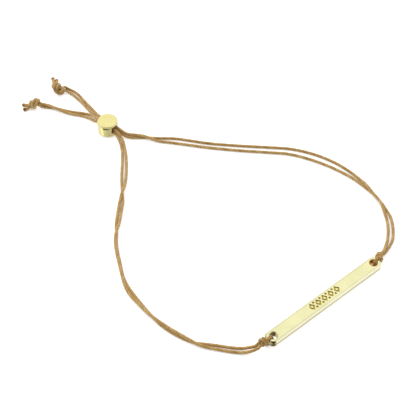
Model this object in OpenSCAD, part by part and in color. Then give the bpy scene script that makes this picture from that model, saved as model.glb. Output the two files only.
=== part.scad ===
// Cord bracelet: a flat metal bar with a doubled thin waxed cord tied into each end. Both cords
// run round the wrist, through one round slide bead, and end in knotted tails.
// Millimetres. +Z is up and the bracelet lies on the plane z = 0, as it would on a table.
// The bar lies along X, the bead is across the loop from it on +Y. The origin is on the table,
// midway between the bar's outer edge and the bead's outer edge.

/* [Bar] */
// Length of the bar
bar_l = 37.8; // [37:0.1:38.2]
// Width of the bar
bar_w = 3.7; // [3.5:0.1:3.8]
// Thickness of the bar
bar_t = 2.1; // [2:0.1:2.2]
// Radius of the bar's corners, seen from above
bar_corner = 1.4; // [0.9:0.1:1.6]
// Rounding of the bar's edges
bar_edge = 0.55; // [0.25:0.05:0.6]
// Diameter of the hole near each end
hole_d = 2; // [1.9:0.05:2.05]
// Distance between the two holes
hole_pitch = 34; // [33.8:0.1:34.2]
// Widening of each hole at its mouths
hole_mouth = 0.15; // [0.05:0.05:0.2]

/* [Engraved ornament] */
// Depth of the engraving
cut_depth = 0.25; // [0.1:0.05:0.4]
// Number of lozenges in the row
lozenges = 5; // [3:2:7]
// Distance from one lozenge to the next
lozenge_pitch = 2.08; // [1.9:0.02:2.1]
// Height of a lozenge across the bar
lozenge_h = 2.2; // [1.6:0.05:2.2]
// Width of a lozenge along the bar
lozenge_w = 1.7; // [1.2:0.05:1.7]
// Diameter of the dots above and below the gaps between the lozenges
dot_d = 0.6; // [0.3:0.05:0.6]

/* [Slide bead] */
// Diameter of the bead
bead_d = 5.8; // [5.6:0.1:6]
// Height of the bead
bead_h = 4; // [3.9:0.1:4.3]
// Rounding of the bead's top and bottom rims
bead_edge = 0.45; // [0.3:0.05:0.8]
// Diameter of the cross bore that all four strands run through
bore_d = 2.55; // [2.4:0.05:2.6]
// Height of the bore's centre line above the table
bore_z = 2.1; // [2:0.05:2.15]

/* [Cord] */
// Diameter of the cord
cord_d = 0.75; // [0.6:0.05:0.76]
// Number of flats round the cord
cord_sides = 8; // [8:1:12]
// Rings in the tube for each row of a route's table
cord_steps = 2; // [1:1:2]

/* [Knots] */
// Diameter of the knot at the bar's +X end
a_bar_knot_d = 2.7; // [2.4:0.05:2.7]
// Diameter of the knot at the bar's -X end
b_bar_knot_d = 2.6; // [2.4:0.05:2.6]
// Length of the knots beside the bar, along the cord
bar_knot_l = 1.6; // [1.4:0.1:1.6]
// Diameter of the knots at the tails' ends
tail_knot_d = 3.2; // [2.6:0.1:3.2]
// Length of the knot at cord a's tail, along the cord
a_tail_knot_l = 2.6; // [2.4:0.1:2.6]
// Length of the knot at cord b's tail, along the cord
b_tail_knot_l = 2.4; // [2.2:0.1:2.4]

/* [Hidden] */
$fn = 64;
eps = 0.02;

// Places of the hard pieces.
bar_at = [0, -41.6, 0.8];        // middle of the bar's underside: it rests on the cord under it
bead_at = [-6.6, 40.55, 0];      // middle of the bead's underside
bore_turn = -80;                 // way that the bore points, towards the loop

// Knots: middle of each knot, and how its axis is turned and tipped up.
//          x       y      z    turn  tip
knot_place = [
    [  20.30, -40.70, 1.35,   25,   0],   // cord a, beside the bar
    [ -20.00, -41.25, 2.25,  170,  -8],   // cord b, beside the bar
    [  -8.60,  62.20, 1.60,  115,   0],   // cord a, tail
    [ -17.40,  61.35, 1.60,  140,   0],   // cord b, tail
];
KX = 0; KY = 1; KZ = 2; KTURN = 3; KTIP = 4;

// Each cord is doubled: two strands run side by side from the knot at the bar to the tail's knot.
// A row holds the middle of the pair (x, y), the gap from strand 1 to strand 2 across the run
// (plus where strand 1 is on the left), the height of the lower strand's centre line, and which
// strand lies on top where they cross (1 for strand 1, -1 for strand 2).
RX = 0; RY = 1; RGAP = 2; RLOW = 3; ROVER = 4;
//    x       y      gap   low  over
route_a = [
    [ 21.3,  -40.4,  0.40,  1.0,  1.0],    // knot at the bar's +X end
    [ 22.5,  -40.1,  0.40,  0.6,  1.0],
    [ 24.1,  -39.5,  0.70,  0.4,  1.0],
    [ 27.2,  -37.9,  1.30,  0.4,  0.0],
    [ 30.0,  -35.3,  1.30,  0.4,  0.0],
    [ 32.0,  -32.6,  1.20,  0.4,  0.0],
    [ 33.1,  -30.1,  0.80,  0.4,  1.0],
    [ 34.0,  -27.6,  0.40,  0.4,  1.0],
    [ 34.5,  -24.6,  0.40,  0.4,  1.0],
    [ 34.7,  -22.1, -0.10,  0.4,  1.0],    // strand 1 crosses over
    [ 34.9,  -19.6, -0.70,  0.4,  1.0],
    [ 34.8,  -16.0, -1.30,  0.4,  0.0],
    [ 33.5,  -10.0, -2.00,  0.4,  0.0],
    [ 31.1,   -4.1, -2.20,  0.4,  0.0],
    [ 27.7,    1.3, -2.00,  0.4,  0.0],
    [ 23.4,    5.7, -1.90,  0.4,  0.0],
    [ 17.8,   11.1, -1.80,  0.4,  0.0],
    [ 11.8,   17.3, -1.60,  0.4,  0.0],
    [  8.0,   21.8, -1.70,  0.4,  0.0],
    [  5.3,   25.0, -1.70,  0.4,  0.0],
    [  2.0,   28.3, -1.10,  0.4, -1.0],
    [ -0.1,   30.8, -0.40,  0.4, -1.0],    // strand 2 crosses over
    [ -2.1,   32.9,  0.40,  0.4, -1.0],
    [ -4.3,   35.2,  0.60,  0.7, -1.0],
    [ -5.4,   37.8,  0.10,  1.7, -1.1],    // into the bead
    [ -5.9,   40.7,  0.10,  1.7, -1.0],
    [ -6.4,   43.5,  0.10,  1.7, -1.0],    // out of the bead
    [ -6.4,   45.8,  0.50,  0.8, -1.3],
    [ -6.1,   49.4,  0.80,  0.4, -1.0],
    [ -5.9,   53.6,  0.80,  0.4, -0.5],
    [ -5.8,   57.0,  1.20,  0.4,  0.0],
    [ -6.2,   59.4,  1.10,  0.5,  0.0],
    [ -7.2,   61.1,  0.60,  0.9, -1.0],    // tail's knot
];
//    x       y      gap   low  over
route_b = [
    [-21.0,  -41.2,  0.80,  2.0,  0.0],    // knot at the bar's -X end
    [-22.2,  -40.8,  0.95,  1.5,  0.0],
    [-23.5,  -39.9,  1.20,  0.9,  0.0],
    [-24.9,  -38.7,  1.20,  0.5,  0.0],
    [-26.6,  -36.9,  1.15,  0.4,  0.0],
    [-28.2,  -35.0,  1.10,  0.4,  0.5],
    [-29.9,  -33.0,  1.00,  0.4,  1.0],
    [-31.5,  -31.1,  0.70,  0.4,  1.0],
    [-32.5,  -29.4,  0.20,  0.4,  1.0],    // strand 1 crosses over
    [-33.9,  -25.7, -0.30,  0.4,  1.0],
    [-35.1,  -21.2, -0.20,  0.4,  1.0],
    [-35.6,  -16.9,  0.40,  0.4,  1.0],    // and back
    [-35.6,  -12.4,  0.70,  0.4,  1.0],
    [-35.4,   -8.7,  0.90,  0.4,  1.0],
    [-34.9,   -5.8,  0.65,  0.4,  1.0],
    [-33.8,   -2.8,  0.25,  0.4,  1.0],
    [-32.2,    0.5,  0.30,  0.4,  1.0],
    [-30.2,    4.5,  0.30,  0.4,  1.0],
    [-28.5,    7.2,  0.25,  0.4,  1.0],
    [-26.7,    9.3,  0.00,  0.4,  1.0],    // strand 1 crosses over again
    [-24.8,   11.4, -0.80,  0.4,  1.0],
    [-21.2,   15.2, -0.90,  0.4,  0.0],
    [-19.4,   17.0, -0.80,  0.4, -1.0],
    [-17.7,   18.9,  0.00,  0.4, -1.0],    // strand 2 crosses over
    [-15.8,   21.0,  0.80,  0.4, -1.0],
    [-13.6,   23.7,  1.20,  0.4,  0.0],
    [-11.3,   26.6,  1.20,  0.4,  0.0],
    [ -9.1,   29.6,  1.00,  0.4,  0.0],
    [ -7.6,   32.1,  0.80,  0.5,  0.0],
    [ -6.6,   34.5,  0.80,  0.9, -1.0],
    [ -6.4,   37.6,  0.40,  1.6, -1.1],    // into the bead
    [ -6.9,   40.5,  0.40,  1.6, -1.0],
    [ -7.4,   43.4,  0.40,  1.6, -1.0],    // out of the bead
    [ -7.7,   45.3,  0.60,  1.0, -1.4],
    [ -7.8,   47.5,  1.00,  0.5, -3.5],    // strand 2 over strand 1
    [ -9.1,   50.0,  0.90,  0.4, -1.2],
    [-11.2,   52.7,  0.90,  0.4,  0.3],
    [-13.4,   56.3,  0.50,  0.4,  1.0],    // strand 1 crosses over
    [-15.3,   59.0, -0.30,  0.5,  1.0],
    [-16.7,   60.1, -0.30,  0.9,  1.0],    // tail's knot
];

// The bend of each cord through its hole: over the bar's end, down the hole and back under it.
//     x      y      z
bend_a = [
    [19.70, -41.1, 2.95],
    [19.30, -41.2, 3.20],
    [18.70, -41.3, 3.36],
    [18.00, -41.4, 3.30],
    [17.50, -41.6, 2.80],
    [17.35, -41.7, 1.80],
    [17.40, -41.7, 0.90],
    [17.90, -41.6, 0.45],
    [18.60, -41.4, 0.40],
    [19.40, -41.1, 0.40],
];
bend_b = [
    [-19.35, -41.5, 3.15],
    [-18.90, -41.6, 3.32],
    [-18.40, -41.6, 3.36],
    [-17.80, -41.6, 3.15],
    [-17.50, -41.6, 2.60],
    [-17.40, -41.6, 1.80],
    [-17.45, -41.6, 0.90],
    [-17.90, -41.5, 0.45],
    [-18.70, -41.4, 0.40],
    [-19.45, -41.3, 0.60],
];

// Cut ends beyond the tails' knots: where each one leaves its knot, and its tip.
//     x      y     z     x      y     z
end_rows = [
    [ -8.95, 63.95, 1.6,  -7.45, 67.0, 1.1],
    [ -7.85, 64.05, 1.35, -6.95, 65.8, 0.9],
    [-19.05, 61.50, 1.45, -20.30, 63.7, 0.8],
    [-19.10, 61.45, 0.65, -21.15, 62.2, 0.5],
];

// How far the upper strand is lifted where the pair is closer than two cords lie side by side.
touch = 1.15;
lift = 0.82;
function rise(gap) = lift * cos(90 * min(1, abs(gap) / touch));

// A smooth curve through four rows in a row, and its direction.
function cr(a, b, c, d, t) = 0.5 * (2*b + (c - a)*t + (2*a - 5*b + 4*c - d)*t*t
    + (3*b - a - 3*c + d)*t*t*t);
function ease(a, b, t) = a + (b - a) * t*t*(3 - 2*t);
function row(r, i) = i < 0 ? 2*r[0] - r[1] : i >= len(r) ? 2*r[len(r) - 1] - r[len(r) - 2] : r[i];
function unit(v) = v / norm(v);

function mid(r, i, t) = let (q = cr(row(r, i - 1), row(r, i), row(r, i + 1), row(r, i + 2), t))
    [q[RX], q[RY]];
function left(r, i, t) = let (d = unit(mid(r, i, min(t + 0.05, 1)) - mid(r, i, max(t - 0.05, 0))))
    [-d[1], d[0]];
// Centre line of one strand: side is 1 for strand 1 and -1 for strand 2.
function strand_at(r, side, i, t) = let (
    q = cr(row(r, i - 1), row(r, i), row(r, i + 1), row(r, i + 2), t),
    n = left(r, i, t),
    over = ease(row(r, i)[ROVER], row(r, i + 1)[ROVER], t),
    low = max(0.4, q[RLOW]),
    p = [q[RX], q[RY]] + n * side * q[RGAP] / 2)
    [p[0], p[1], low + rise(q[RGAP]) * max(0, side * over)];
function strand(r, side) = [for (k = [0 : (len(r) - 1) * cord_steps])
    let (i = min(floor(k / cord_steps), len(r) - 2)) strand_at(r, side, i, k / cord_steps - i)];
function bend(p) = [for (k = [0 : (len(p) - 1) * cord_steps])
    let (i = min(floor(k / cord_steps), len(p) - 2))
    cr(row(p, i - 1), row(p, i), row(p, i + 1), row(p, i + 2), k / cord_steps - i)];

function dirs(p) = [for (i = [0 : len(p) - 1])
    unit(p[min(i + 1, len(p) - 1)] - p[max(i - 1, 0)])];
// A ring's first spoke follows the last ring's, so that the tube doesn't twist.
function spokes(d, i, s) = i == len(d) ? [] : let (
    v = unit(s - d[i] * (s * d[i]))) concat([v], spokes(d, i + 1, v));

module tube(p, dia = cord_d, n = cord_sides) {
    d = dirs(p);
    s = spokes(d, 0, abs(d[0][2]) > 0.8 ? [0, 1, 0] : [0, 0, 1]);
    pts = [for (i = [0 : len(p) - 1]) for (k = [0 : n - 1])
        p[i] + dia/2 * (s[i] * cos(360*k/n) + cross(d[i], s[i]) * sin(360*k/n))];
    sides = [for (i = [0 : len(p) - 2]) for (k = [0 : n - 1])
        [i*n + k, i*n + (k + 1) % n, (i + 1)*n + (k + 1) % n, (i + 1)*n + k]];
    caps = [[for (k = [n - 1 : -1 : 0]) k], [for (k = [0 : n - 1]) (len(p) - 1)*n + k]];
    polyhedron(points = pts, faces = [for (f = concat(sides, caps)) [for (j = [len(f) - 1 : -1 : 0]) f[j]]]);
}

// A knot as a plain barrel along the cord.
module barrel(k, dia, len) {
    c = min(0.6, len/2 - 0.1);
    translate([k[KX], k[KY], k[KZ]]) rotate([0, -k[KTIP], k[KTURN]]) rotate([0, 90, 0])
        rotate_extrude() union() {
            translate([0, -len/2]) square([dia/2 - c, len]);
            translate([0, -len/2 + c]) square([dia/2, len - 2*c]);
            for (s = [-1, 1]) translate([dia/2 - c, s*(len/2 - c)]) circle(c);
        }
}

// A straight cut end with a softly melted tip.
module cut_end(e) {
    a = [e[0], e[1], e[2]];
    b = [e[3], e[4], e[5]];
    v = b - a;
    translate(a) rotate([0, acos(v[2] / norm(v)), atan2(v[1], v[0])]) {
        cylinder(h = norm(v), d = cord_d);
        translate([0, 0, norm(v)]) sphere(d = cord_d);
    }
}

// Section of a bar with rounded edges, wide w and high t, standing on its lower edge.
module soft_section(w, t, e) {
    translate([-w/2 + e, 0]) square([w - 2*e, t]);
    translate([-w/2, e]) square([w, t - 2*e]);
    for (x = [-1, 1]) for (y = [e, t - e]) translate([x*(w/2 - e), y]) circle(e);
}

module soft_half(w, t, e) {
    intersection() {
        soft_section(2*w, t, e);
        translate([0, -1]) square([w + 1, t + 2]);
    }
}

module bar_blank() {
    for (x = [-1, 1]) for (y = [-1, 1])
        translate([x*(bar_l/2 - bar_corner), y*(bar_w/2 - bar_corner), 0])
            rotate_extrude() soft_half(bar_corner, bar_t, bar_edge);
    translate([bar_l/2 - bar_corner, 0, 0]) rotate([90, 0, -90])
        linear_extrude(bar_l - 2*bar_corner) soft_section(bar_w, bar_t, bar_edge);
    translate([0, bar_w/2 - bar_corner, 0]) rotate([90, 0, 0])
        linear_extrude(bar_w - 2*bar_corner) soft_section(bar_l, bar_t, bar_edge);
}

module bar_hole(x) {
    translate([x, 0, -1]) cylinder(h = bar_t + 2, d = hole_d);
    translate([x, 0, bar_t - hole_mouth])
        cylinder(h = hole_mouth + eps, d1 = hole_d, d2 = hole_d + 2*(hole_mouth + eps));
    translate([x, 0, -eps])
        cylinder(h = hole_mouth + eps, d1 = hole_d + 2*(hole_mouth + eps), d2 = hole_d);
}

module ornament() {
    for (i = [0 : lozenges - 1]) translate([(i - (lozenges - 1)/2) * lozenge_pitch, 0, 0])
        difference() {
            polygon([[-lozenge_w/2, 0], [0, -lozenge_h/2], [lozenge_w/2, 0], [0, lozenge_h/2]]);
            polygon([[-lozenge_w/5, 0], [0, -lozenge_h/5], [lozenge_w/5, 0], [0, lozenge_h/5]]);
        }
    for (i = [0 : lozenges - 2]) translate([(i - (lozenges - 2)/2) * lozenge_pitch, 0, 0])
        for (side = [-1, 1]) translate([0, side * lozenge_h * 0.34, 0]) circle(d = dot_d);
}

module bar() {
    color("#ead98c") translate(bar_at) difference() {
        bar_blank();
        bar_hole(-hole_pitch/2);
        bar_hole(hole_pitch/2);
        translate([0, 0.1, bar_t - cut_depth]) linear_extrude(cut_depth + 1) ornament();
    }
}

module slide_bead() {
    color("#e6d487") translate(bead_at) difference() {
        rotate_extrude() soft_half(bead_d/2, bead_h, bead_edge);
        translate([0, 0, bore_z]) rotate([0, 90, bore_turn])
            cylinder(h = bead_d + 2, d = bore_d, center = true);
    }
}

module a_strand_1() { color("#b8935a") tube(strand(route_a, 1)); }
module a_strand_2() { color("#b8935a") tube(strand(route_a, -1)); }
module b_strand_1() { color("#b8935a") tube(strand(route_b, 1)); }
module b_strand_2() { color("#b8935a") tube(strand(route_b, -1)); }
module a_hole_loop() { color("#a9824c") tube(bend(bend_a)); }
module b_hole_loop() { color("#a9824c") tube(bend(bend_b)); }
module a_bar_knot() { color("#a9824c") barrel(knot_place[0], a_bar_knot_d, bar_knot_l); }
module b_bar_knot() { color("#a9824c") barrel(knot_place[1], b_bar_knot_d, bar_knot_l); }
module a_tail_knot() { color("#a9824c") barrel(knot_place[2], tail_knot_d, a_tail_knot_l); }
module b_tail_knot() { color("#a9824c") barrel(knot_place[3], tail_knot_d, b_tail_knot_l); }
module a_end_1() { color("#8a5f33") cut_end(end_rows[0]); }
module a_end_2() { color("#8a5f33") cut_end(end_rows[1]); }
module b_end_1() { color("#8a5f33") cut_end(end_rows[2]); }
module b_end_2() { color("#8a5f33") cut_end(end_rows[3]); }

bar();
slide_bead();
a_hole_loop();
a_bar_knot();
a_strand_1();
a_strand_2();
a_tail_knot();
a_end_1();
a_end_2();
b_hole_loop();
b_bar_knot();
b_strand_1();
b_strand_2();
b_tail_knot();
b_end_1();
b_end_2();
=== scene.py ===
import math

import bpy
import numpy as np
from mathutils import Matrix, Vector


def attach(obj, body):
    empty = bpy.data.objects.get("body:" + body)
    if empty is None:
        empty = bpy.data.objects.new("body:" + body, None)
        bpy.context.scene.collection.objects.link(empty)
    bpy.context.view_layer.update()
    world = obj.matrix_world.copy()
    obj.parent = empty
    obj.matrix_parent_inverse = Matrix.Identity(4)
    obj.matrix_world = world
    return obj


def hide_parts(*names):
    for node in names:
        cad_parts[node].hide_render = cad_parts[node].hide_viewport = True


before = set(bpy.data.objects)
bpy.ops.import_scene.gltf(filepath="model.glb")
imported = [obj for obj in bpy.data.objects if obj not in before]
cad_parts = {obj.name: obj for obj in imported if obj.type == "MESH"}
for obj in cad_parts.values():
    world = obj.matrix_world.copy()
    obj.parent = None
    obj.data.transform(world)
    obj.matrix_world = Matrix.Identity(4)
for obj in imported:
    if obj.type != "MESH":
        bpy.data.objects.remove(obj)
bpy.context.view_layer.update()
MM = 0.001

# ---------------------------------------------------------------- camera
cam_data = bpy.data.cameras.new("camera")
cam_data.lens = 93.46
cam_data.sensor_width = 36
cam_data.clip_start = 0.01
cam_data.clip_end = 5
cam = bpy.data.objects.new("camera", cam_data)
cam.location = (-0.11745, -0.13871, 0.22618)
cam.rotation_euler = (math.radians(38.6), 0, math.radians(-39.458))
bpy.context.scene.collection.objects.link(cam)
bpy.context.scene.camera = cam

# ---------------------------------------------------------------- routes, in millimetres
# Middle of the pair x, y, gap from strand 1 to strand 2, height of the lower strand, which is on top.
ROUTE_A = [
    [21.3, -40.4, 0.4, 1.0, 1], [22.5, -40.1, 0.4, 0.6, 1], [24.1, -39.5, 0.7, 0.4, 1],
    [27.2, -37.9, 1.3, 0.4, 0], [30.0, -35.3, 1.3, 0.4, 0], [32.0, -32.6, 1.2, 0.4, 0],
    [33.1, -30.1, 0.8, 0.4, 1], [34.0, -27.6, 0.4, 0.4, 1], [34.5, -24.6, 0.4, 0.4, 1],
    [34.7, -22.1, -0.1, 0.4, 1], [34.9, -19.6, -0.7, 0.4, 1], [34.8, -16.0, -1.3, 0.4, 0],
    [33.5, -10.0, -2.0, 0.4, 0], [31.1, -4.1, -2.2, 0.4, 0], [27.7, 1.3, -2.0, 0.4, 0],
    [23.4, 5.7, -1.9, 0.4, 0], [17.8, 11.1, -1.8, 0.4, 0], [11.8, 17.3, -1.6, 0.4, 0],
    [8.0, 21.8, -1.7, 0.4, 0], [5.3, 25.0, -1.7, 0.4, 0], [2.0, 28.3, -1.1, 0.4, -1],
    [-0.1, 30.8, -0.4, 0.4, -1], [-2.1, 32.9, 0.4, 0.4, -1], [-4.3, 35.2, 0.6, 0.7, -1],
    [-5.4, 37.8, 0.1, 1.7, -1.1], [-5.9, 40.7, 0.1, 1.7, -1], [-6.4, 43.5, 0.1, 1.7, -1],
    [-6.4, 45.8, 0.5, 0.8, -1.3], [-6.1, 49.4, 0.8, 0.4, -1], [-5.9, 53.6, 0.8, 0.4, -0.5],
    [-5.8, 57.0, 1.2, 0.4, 0], [-6.2, 59.4, 1.1, 0.5, 0], [-7.2, 61.1, 0.6, 0.9, -1],
]
ROUTE_B = [
    [-21.0, -41.2, 0.8, 2.0, 0], [-22.2, -40.8, 0.95, 1.5, 0], [-23.5, -39.9, 1.2, 0.9, 0],
    [-24.9, -38.7, 1.2, 0.5, 0], [-26.6, -36.9, 1.15, 0.4, 0], [-28.2, -35.0, 1.1, 0.4, 0.5],
    [-29.9, -33.0, 1.0, 0.4, 1],
    [-31.5, -31.1, 0.7, 0.4, 1], [-32.5, -29.4, 0.2, 0.4, 1], [-33.9, -25.7, -0.3, 0.4, 1],
    [-35.1, -21.2, -0.2, 0.4, 1], [-35.6, -16.9, 0.4, 0.4, 1], [-35.6, -12.4, 0.7, 0.4, 1],
    [-35.4, -8.7, 0.9, 0.4, 1], [-34.9, -5.8, 0.65, 0.4, 1], [-33.8, -2.8, 0.25, 0.4, 1],
    [-32.2, 0.5, 0.3, 0.4, 1], [-30.2, 4.5, 0.3, 0.4, 1], [-28.5, 7.2, 0.25, 0.4, 1],
    [-26.7, 9.3, 0, 0.4, 1], [-24.8, 11.4, -0.8, 0.4, 1], [-21.2, 15.2, -0.9, 0.4, 0],
    [-19.4, 17.0, -0.8, 0.4, -1], [-17.7, 18.9, 0, 0.4, -1], [-15.8, 21.0, 0.8, 0.4, -1],
    [-13.6, 23.7, 1.2, 0.4, 0], [-11.3, 26.6, 1.2, 0.4, 0], [-9.1, 29.6, 1.0, 0.4, 0],
    [-7.6, 32.1, 0.8, 0.5, 0], [-6.6, 34.5, 0.8, 0.9, -1], [-6.4, 37.6, 0.4, 1.6, -1.1],
    [-6.9, 40.5, 0.4, 1.6, -1], [-7.4, 43.4, 0.4, 1.6, -1], [-7.7, 45.3, 0.6, 1.0, -1.4],
    [-7.8, 47.5, 1.0, 0.5, -2.0], [-9.1, 50.0, 0.9, 0.4, -0.5], [-11.2, 52.7, 0.85, 0.4, 0.3],
    [-13.4, 56.3, 0.5, 0.4, 1], [-15.3, 59.0, -0.3, 0.5, 1], [-16.7, 60.1, -0.3, 0.9, 1],
]
# Each cord's bend through its hole: over the bar's end, down the hole and back under it.
BEND_A = [
    [19.70, -41.1, 2.95], [19.30, -41.2, 3.20], [18.70, -41.3, 3.36], [18.00, -41.4, 3.30],
    [17.50, -41.6, 2.80], [17.35, -41.7, 1.80], [17.40, -41.7, 0.90], [17.90, -41.6, 0.45],
    [18.60, -41.4, 0.40], [19.40, -41.1, 0.40],
]
BEND_B = [
    [-19.35, -41.5, 3.15], [-18.90, -41.6, 3.32], [-18.40, -41.6, 3.36], [-17.80, -41.6, 3.15],
    [-17.50, -41.6, 2.60], [-17.40, -41.6, 1.80], [-17.45, -41.6, 0.90], [-17.90, -41.5, 0.45],
    [-18.70, -41.4, 0.40], [-19.45, -41.3, 0.60],
]
# Cut ends: where each one leaves its knot, and its tip.
ENDS = {
    "a_end_1": [[-8.95, 63.95, 1.6], [-7.45, 67.0, 1.1]],
    "a_end_2": [[-7.85, 64.05, 1.35], [-6.95, 65.8, 0.9]],
    "b_end_1": [[-19.05, 61.50, 1.45], [-20.30, 63.7, 0.8]],
    "b_end_2": [[-19.10, 61.45, 0.65], [-21.15, 62.2, 0.5]],
}
# Knots: middle, turn and tip of the axis, roll about it, size of the tied knot, and its hand.
KNOTS = {
    "a_bar_knot": dict(at=[19.95, -40.85, 1.65], turn=25, tip=0, roll=15, size=0.80, hand=-1),
    "b_bar_knot": dict(at=[-19.90, -41.05, 2.40], turn=170, tip=-4, roll=240, size=0.79, hand=-1),
    "a_tail_knot": dict(at=[-9.20, 61.55, 1.85], turn=105, tip=0, roll=100, size=1.05, hand=-1),
    "b_tail_knot": dict(at=[-17.85, 61.10, 1.70], turn=138, tip=0, roll=270, size=1.05, hand=1),
}
CORD_D = 0.75
TOUCH, LIFT = 1.15, 0.82
STEP = 0.12      # ring spacing
SIDES = 18       # round each ring, six to a ply
LAY = 3.3        # length of one full twist of the three plies


def cr(a, b, c, d, t):
    return 0.5 * (2 * b + (c - a) * t + (2 * a - 5 * b + 4 * c - d) * t * t
                  + (3 * b - a - 3 * c + d) * t ** 3)


def row(r, i):
    return 2 * r[0] - r[1] if i < 0 else 2 * r[-1] - r[-2] if i >= len(r) else r[i]


def at(r, i, t):
    return cr(row(r, i - 1), row(r, i), row(r, i + 1), row(r, i + 2), t)


def strand(route, side, n=24):
    r = np.array(route, float)
    out = []
    for k in range((len(r) - 1) * n + 1):
        i = min(k // n, len(r) - 2)
        t = k / n - i
        q = at(r, i, t)
        d = at(r, i, min(t + 0.05, 1))[:2] - at(r, i, max(t - 0.05, 0))[:2]
        d /= np.linalg.norm(d)
        e = t * t * (3 - 2 * t)
        over = row(r, i)[4] + (row(r, i + 1)[4] - row(r, i)[4]) * e
        lift = LIFT * math.cos(math.pi / 2 * min(1, abs(q[2]) / TOUCH))
        out.append([q[0] - d[1] * side * q[2] / 2, q[1] + d[0] * side * q[2] / 2,
                    max(0.4, q[3]) + lift * max(0, side * over)])
    return np.array(out)


def bend(rows, n=24):
    r = np.array(rows, float)
    return np.array([at(r, min(k // n, len(r) - 2), k / n - min(k // n, len(r) - 2))
                     for k in range((len(r) - 1) * n + 1)])


def arc(p):
    return np.r_[0, np.cumsum(np.linalg.norm(np.diff(p, axis=0), axis=1))]


def even(p, step):
    s = arc(p)
    u = np.linspace(0, s[-1], max(2, int(round(s[-1] / step))) + 1)
    return np.stack([np.interp(u, s, p[:, k]) for k in range(3)], 1)


# ---------------------------------------------------------------- an overhand knot in a doubled cord
def wrapped_overhand(d=0.75, step=0.25):
    """The knot before it is drawn up. One line's way through it is given as x, radius and angle, in
    cord widths and degrees. It runs in beside the other line, turns back at the far side, goes once
    round everything and leaves through the middle. The other line is the same one turned over."""
    rows = [
        [8, .707, 135], [6, .707, 135], [4, .707, 135], [2, .707, 135], [1.2, .707, 99], [.4, .707, 63],
        [-.4, .707, 27], [-1.2, .707, -9], [-1.8, .8, -33], [-2.35, 1, -50], [-2.6, 1.35, -75],
        [-2.35, 1.62, -108], [-1.8, 1.7, -145], [-1.2, 1.71, -182], [-.85, 1.71, -225], [-.55, 1.71, -270],
        [-.25, 1.71, -315], [0, 1.71, -360], [.3, 1.71, -395], [.8, 1.68, -410], [1.3, 1.4, -425],
        [1.25, 1, -440], [.9, .75, -454], [.2, .707, -486], [-.6, .707, -522], [-1.4, .707, -558],
        [-2, .707, -585], [-4, .707, -585], [-6, .707, -585], [-8, .707, -585],
    ]
    q = np.array([[x, r * math.cos(math.radians(f)), r * math.sin(math.radians(f))] for x, r, f in rows]) * d
    p = bend(q, 12)
    for _ in range(20):
        p[1:-1] = (p[:-2] + 2 * p[1:-1] + p[2:]) / 4
    return [even(p[::-1] * [-1, -1, 1], step), even(p, step)]


def pull_tight(two, d=0.75, step=0.25, pull=1.8, move=0.02, rounds=16, hold=60):
    """Draws the ends apart while the cord keeps its length and doesn't pass through itself."""
    n = [len(s) for s in two]
    x = np.vstack(two)
    count = len(x)
    which = np.r_[np.zeros(n[0], int), np.ones(n[1], int)]
    place = np.r_[np.arange(n[0]), np.arange(n[1])]
    link = np.array([i for i in range(count - 1) if which[i] == which[i + 1]])
    halves = (link[link % 2 == 0], link[link % 2 == 1])
    a, b = np.triu_indices(count, 1)
    keep = (which[a] != which[b]) | (np.abs(place[a] - place[b]) >= 3)
    a, b = a[keep], b[keep]
    ends = np.array([0, n[0] - 1, n[0], count - 1])
    way = np.array([[1, 0, 0], [-1, 0, 0], [1, 0, 0], [-1, 0, 0.0]])
    free = np.ones(count)
    free[ends] = 0
    for k in range(int(pull / move) + hold):
        if k < int(pull / move):
            x[ends] += way * move
        x[ends, 1:] *= 0.985
        x[ends, 1] += np.array([d, d, -d, -d]) / 2 * 0.015
        if k % 4 == 0:
            v = x[a] - x[b]
            near = (v * v).sum(1) < (d + 0.35) ** 2
            na, nb = a[near], b[near]
        for turn in range(rounds):
            for e in halves:
                v = x[e + 1] - x[e]
                size = np.linalg.norm(v, axis=1)
                c = (size - step) / size / np.maximum(free[e] + free[e + 1], 1e-9)
                x[e] += v * (c * free[e])[:, None]
                x[e + 1] -= v * (c * free[e + 1])[:, None]
            if turn % 2 == 0:
                v = x[na] - x[nb]
                size = np.linalg.norm(v, axis=1)
                hit = size < d
                if hit.any():
                    ia, ib = na[hit], nb[hit]
                    push = v[hit] * ((size[hit] - d) / size[hit] * 0.5)[:, None]
                    moved = np.zeros_like(x)
                    np.add.at(moved, ia, -push)
                    np.add.at(moved, ib, push)
                    met = np.bincount(np.r_[ia, ib], minlength=count)
                    x += moved * (free / np.maximum(1, met * 0.6))[:, None]
    return x[:n[0]], x[n[0]:]


TIED = pull_tight(wrapped_overhand())
# The knot's own middle, along its axis.
far_out = [s[np.hypot(s[:, 1], s[:, 2]) > 0.8] for s in TIED]
knot_mid = np.array([(np.vstack(far_out)[:, 0].min() + np.vstack(far_out)[:, 0].max()) / 2, 0, 0])
knot_half = (np.vstack(far_out)[:, 0].max() - np.vstack(far_out)[:, 0].min()) / 2


def place_knot(k, reach=0.1):
    """The two lines through a knot, from its -axis side to its +axis side, in millimetres."""
    out = []
    roll, turn, tip = (math.radians(k[n]) for n in ("roll", "turn", "tip"))
    rx = np.array([[1, 0, 0], [0, math.cos(roll), -math.sin(roll)], [0, math.sin(roll), math.cos(roll)]])
    ry = np.array([[math.cos(tip), 0, -math.sin(tip)], [0, 1, 0], [math.sin(tip), 0, math.cos(tip)]])
    rz = np.array([[math.cos(turn), -math.sin(turn), 0], [math.sin(turn), math.cos(turn), 0], [0, 0, 1]])
    for s in TIED:
        p = s[::-1] - knot_mid
        p = even(p, 0.1)
        inside = np.nonzero(np.abs(p[:, 0]) < knot_half + reach)[0]
        p = p[inside[0]:inside[-1] + 1] * k["size"] * [1, 1, k["hand"]]
        out.append(p @ (rz @ ry @ rx).T + np.array(k["at"]))
    return out


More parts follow.
